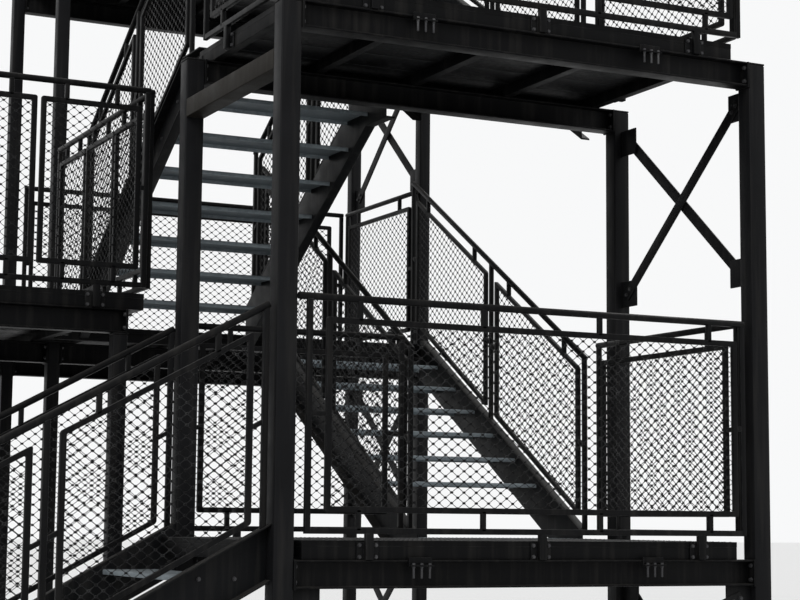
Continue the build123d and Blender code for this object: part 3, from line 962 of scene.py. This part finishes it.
for name, areas in deckAreas().items():
    makeDeck(name, areas)
print("decks boarded")

# Treads: folded plates with a rolled nosing, bolted through the webs of the stringers
treadStyle = {
    "skin": 0.004,
    "nosing": 0.007,
    "web": 0.008,
    "boltInset": 0.058,
    "boltDrop": 0.013,
    "boltSize": 0.85,
}
treadNodes = {
    "entry_flight_treads": east,
    "lower_flight_treads": north,
    "middle_flight_treads": south,
    "upper_flight_treads": north,
}


def treadSpans(low, high, alongX):
    # along the flight, and from one stringer to the other
    spans = (low.x, high.x), (low.y, high.y)
    return spans if alongX else spans[::-1]


def foldedTread(bm, low, high, alongX):
    skin, top = treadStyle["skin"], high.z - buttonStyle["height"]
    (front, back), (near, far) = treadSpans(low, high, alongX)
    outline = (
        (front, low.z), (front, top), (back, top), (back, low.z),
        (back - skin, low.z), (back - skin, top - skin),
        (front + skin, top - skin), (front + skin, low.z),
    )
    piece = bmesh.new()
    points = [(s, near, z) if alongX else (near, s, z) for s, z in outline]
    face = piece.faces.new([piece.verts.new(point) for point in points])
    across = (0, far - near, 0) if alongX else (far - near, 0, 0)
    shiftCopy(piece, bmesh.ops.extrude_face_region(piece, geom=[face], use_keep_orig=True), across)
    bmesh.ops.recalc_face_normals(piece, faces=piece.faces[:])
    upper = [edge for edge in piece.edges if min(vert.co.z for vert in edge.verts) > top - skin / 2]
    folds = [edge for edge in upper if edge.calc_length() > (far - near) / 2]
    roundEdges(piece, folds, treadStyle["nosing"], drawStyle["cornerSegments"])
    addFrom(bm, piece)
    buttonRows(bm, (low.x, low.y), (high.x, high.y), high.z)


def treadBolts(bm, low, high, alongX):
    out, reach, z = treadStyle["web"], treadStyle["boltInset"], high.z - treadStyle["boltDrop"]
    (front, back), (near, far) = treadSpans(low, high, alongX)
    for s in (front + reach, back - reach):
        for n, way in ((near - out, -1), (far + out, 1)):
            spot = (s, n, z) if alongX else (n, s, z)
            axis = (0, way, 0) if alongX else (way, 0, 0)
            hexBolt(bm, Vector(spot), Vector(axis), treadStyle["boltSize"])


for name, direction in treadNodes.items():
    treads, bolts = bmesh.new(), bmesh.new()
    for corners in islands(name):
        low, high = extent(corners)
        foldedTread(treads, low, high, direction == east)
        treadBolts(bolts, low, high, direction == east)
    finishPiece(treads, name + "_folded", slotOf[name], replaced=(name,))
    finishPiece(bolts, name + "_bolts", "stringer_paint", "bolt_zinc")
print("treads folded")

# Joints: anchors in the feet, brace bars with their bolts, and plates at the ends of beams
jointStyle = {
    "anchorInset": 0.032,
    "anchorSize": 1.25,
    "anchorStud": 0.006,
    "anchorReach": 0.034,
    "braceWidth": 0.064,
    "braceEdge": 0.0025,
    "braceBoltSize": 0.95,
    "braceBoltPlaces": (0.012, 0.058),
    "endPlate": 0.012,
    "endPlateRim": 0.005,
    "endPlateEdge": 0.002,
    "endBoltSize": 1.0,
    "endBoltSpread": 0.028,
    "endBoltRise": 0.036,
}
platedBeams = (
    "lower_beams", "upper_beams", "half_landing_beams", "top_landing_beams", "walkway_beams",
)
upward, downward = Vector((0, 0, 1)), Vector((0, 0, -1))


def makeAnchors():
    bolts = bmesh.new()
    inset, stud = jointStyle["anchorInset"], jointStyle["anchorStud"]
    for corners in islands("base_plates"):
        low, high = extent(corners)
        for x in (low.x + inset, high.x - inset):
            for y in (low.y + inset, high.y - inset):
                foot = Vector((x, y, high.z))
                hexBolt(bolts, foot, upward, jointStyle["anchorSize"])
                tip = foot + upward * jointStyle["anchorReach"]
                softTube(bolts, foot, tip, stud, drawStyle["studSides"])
    finishPiece(bolts, "anchor_bolts", slotOf["base_plates"], "bolt_zinc")


def makeBraces():
    # wider bars than the solids', as the photograph shows them; each end of one has four corners
    bolts = bmesh.new()
    for name in ("front_brace", "side_braces", "rear_bay_braces"):
        bars = bmesh.new()
        low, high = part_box(name)
        flat = 1 if name == "front_brace" else 0
        middle = (low[flat] + high[flat]) / 2
        for corners in islands(name):
            corners.sort(key=lambda point: point[1 - flat])
            ends = [sum(corners[i:i + 4], Vector()) / 4 for i in (0, len(corners) - 4)]
            barLow, barHigh = extent(corners)
            outside = barHigh[flat] if ends[0][flat] > middle else barLow[flat]
            axis = Vector((0, 0, 0))
            axis[flat] = 1 if ends[0][flat] > middle else -1
            strand(bars, *ends, axis, jointStyle["braceWidth"], barHigh[flat] - barLow[flat])
            for start, finish in (ends, ends[::-1]):
                for distance in jointStyle["braceBoltPlaces"]:
                    spot = start + (finish - start).normalized() * distance
                    spot[flat] = outside
                    hexBolt(bolts, spot, axis, jointStyle["braceBoltSize"])
        softenEdges(bars, jointStyle["braceEdge"], drawStyle["easedSegments"])
        finishPiece(bars, name + "_eased", slotOf[name], replaced=(name,))
    finishPiece(bolts, "brace_bolts", slotOf["front_brace"], "bolt_zinc")


def makeBeamEnds():
    plates, bolts = bmesh.new(), bmesh.new()
    thick, rim = jointStyle["endPlate"], jointStyle["endPlateRim"]
    spread, rise = jointStyle["endBoltSpread"], jointStyle["endBoltRise"]
    for name in platedBeams:
        for corners in islands(name):
            low, high = extent(corners)
            middle = (low + high) / 2
            for x, way in ((low.x, 1), (high.x, -1)):
                face = x + way * thick
                across = -high.y - rim, -low.y + rim
                slab(plates, level, sorted((x, face)), across, (low.z - rim, high.z))
                for y in (middle.y - spread, middle.y + spread):
                    for z in (middle.z - rise, middle.z + rise):
                        axis = Vector((way, 0, 0))
                        hexBolt(bolts, Vector((face, y, z)), axis, jointStyle["endBoltSize"])
    softenEdges(plates, jointStyle["endPlateEdge"])
    finishPiece(plates, "beam_end_plates", slotOf["lower_beams"])
    finishPiece(bolts, "beam_end_bolts", slotOf["lower_beams"], "bolt_zinc")


# Clamps that hold the joists to the front beams
clampStyle = {
    "places": (0.685, 1.975),
    "width": 0.12,
    "thickness": 0.008,
    "edge": 0.0015,
    "above": 0.012,
    "below": 0.030,
    "studs": (-0.042, 0.0, 0.042),
    "studRadius": 0.006,
    "studLength": 0.062,
    "studGap": 0.010,
    "nutSize": 0.75,
}


def makeClamps():
    plates, studs = bmesh.new(), bmesh.new()
    thick, gap, radius = clampStyle["thickness"], clampStyle["studGap"], clampStyle["studRadius"]
    for name in ("lower_beams", "upper_beams"):
        low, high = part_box(name)
        bottom, top = high.z - clampStyle["below"], high.z + clampStyle["above"]
        face = -low.y + thick
        for x in clampStyle["places"]:
            span = x - clampStyle["width"] / 2, x + clampStyle["width"] / 2
            slab(plates, level, span, (-low.y, face), (bottom, top))
            slab(plates, level, span, (face, face + gap + 2 * radius), (bottom, bottom + thick))
            for shift in clampStyle["studs"]:
                head = Vector((x + shift, low.y - thick - radius - gap / 2, bottom + thick))
                foot = head + downward * clampStyle["studLength"]
                softTube(studs, head, foot, radius, drawStyle["studSides"])
                hexBolt(studs, head, upward, clampStyle["nutSize"])
                hexBolt(studs, head + downward * thick, downward, clampStyle["nutSize"])
    softenEdges(plates, clampStyle["edge"])
    finishPiece(plates, "joist_clamps", slotOf["upper_beams"])
    finishPiece(studs, "joist_clamp_studs", slotOf["upper_beams"], "bolt_zinc")


makeAnchors()
makeBraces()
makeBeamEnds()
makeClamps()
print("joints made")


# Stage: pale floor, soft light, and the camera where the photograph was taken
stageStyle = {
    "floorSize": 300.0,
    "floorColour": (0.56, 0.56, 0.555),
    "floorNoise": (0.8, 6.0),
    "floorTone": (0.985, 1.01),
    "floorRoughness": 0.85,
    "floorLift": 0.42,
    "backColour": (0.94, 0.945, 0.95),
    "skyColour": (1.0, 1.0, 1.0),
    "ambient": 0.62,
    "keyPower": 880.0,
    "keyPlace": (-9.0, -9.0, 12.0),
    "fillPower": 640.0,
    "fillPlace": (11.0, 3.0, 11.0),
    "lampSize": 7.0,
}
cameraStyle = {
    "place": (-3.277, -7.881, 1.702),
    "turn": 26.16,           # degrees right of +Y
    "pitch": 6.78,
    "roll": 0.52,
    "lens": 84.24,
    "sensor": 36.0,
    "clipEnd": 200.0,
}


def seenRays(tree):
    # one for what is looked at, mirrored or looked through, so it lights nothing
    path = addNode(tree, "LightPath").outputs
    seen = calc(tree, "MAXIMUM", path["Is Camera Ray"], path["Is Glossy Ray"])
    return calc(tree, "MAXIMUM", seen, path["Is Transmission Ray"])


def makeFloor():
    bm = bmesh.new()
    bmesh.ops.create_grid(bm, x_segments=1, y_segments=1, size=stageStyle["floorSize"] / 2)
    mesh = bpy.data.meshes.new("floor")
    bm.to_mesh(mesh)
    bm.free()
    floorPiece = bpy.data.objects.new("floor", mesh)
    scene.collection.objects.link(floorPiece)
    material = bpy.data.materials.new("floor_plaster")
    material.use_nodes = True
    tree = material.node_tree
    shader = tree.nodes["Principled BSDF"]
    place = addNode(tree, "TexCoord").outputs["Object"]
    cloudy = noise(tree, place, *stageStyle["floorNoise"])
    tone = remap(tree, cloudy, *noiseSpan, *stageStyle["floorTone"])
    colour = mixColour(tree, 1.0, solid(stageStyle["floorColour"]), tone, "MULTIPLY")
    tree.links.new(colour, shader.inputs["Base Color"])
    shader.inputs["Roughness"].default_value = stageStyle["floorRoughness"]
    # seen as pale as the background, though it lights nothing more
    glow = calc(tree, "MULTIPLY", seenRays(tree), stageStyle["floorLift"])
    shader.inputs["Emission Color"].default_value = solid(stageStyle["backColour"])
    tree.links.new(glow, shader.inputs["Emission Strength"])
    mesh.materials.append(material)


def makeWorld():
    world = bpy.data.worlds.new("studio")
    world.use_nodes = True
    tree = world.node_tree
    tree.nodes.clear()
    sky, backColour = solid(stageStyle["skyColour"]), solid(stageStyle["backColour"])
    soft = addNode(tree, "Background", {"Color": sky, "Strength": stageStyle["ambient"]})
    back = addNode(tree, "Background", {"Color": backColour, "Strength": 1.0})
    both = addNode(tree, "MixShader", {0: seenRays(tree), 1: soft.outputs[0], 2: back.outputs[0]})
    out = addNode(tree, "OutputWorld")
    tree.links.new(both.outputs[0], out.inputs["Surface"])
    scene.world = world


def makeLamp(name, place, power):
    lamp = bpy.data.lights.new(name, "AREA")
    lamp.size = stageStyle["lampSize"]
    lamp.energy = power
    holder = bpy.data.objects.new(name, lamp)
    scene.collection.objects.link(holder)
    centre = (cadBox[0] + cadBox[1]) / 2
    aim = (centre - Vector(place)).to_track_quat("-Z", "Y").to_matrix().to_4x4()
    holder.matrix_world = Matrix.Translation(place) @ aim


def makeCamera():
    turn, pitch, roll = [radians(cameraStyle[key]) for key in ("turn", "pitch", "roll")]
    forward = Vector((sin(turn) * cos(pitch), cos(turn) * cos(pitch), sin(pitch)))
    right = Vector((cos(turn), -sin(turn), 0))
    up = right.cross(forward)
    rolledRight = right * cos(roll) + up * sin(roll)
    rolledUp = up * cos(roll) - right * sin(roll)
    lens = bpy.data.cameras.new("photo_camera")
    lens.sensor_width = cameraStyle["sensor"]
    lens.lens = cameraStyle["lens"]
    lens.clip_end = cameraStyle["clipEnd"]
    holder = bpy.data.objects.new("photo_camera", lens)
    scene.collection.objects.link(holder)
    basis = Matrix((rolledRight, rolledUp, -forward)).transposed().to_4x4()
    holder.matrix_world = Matrix.Translation(cameraStyle["place"]) @ basis
    scene.camera = holder


makeFloor()
makeWorld()
makeLamp("key_lamp", stageStyle["keyPlace"], stageStyle["keyPower"])
makeLamp("fill_lamp", stageStyle["fillPlace"], stageStyle["fillPower"])
makeCamera()
scene.view_settings.view_transform = "Standard"
print("stage made")
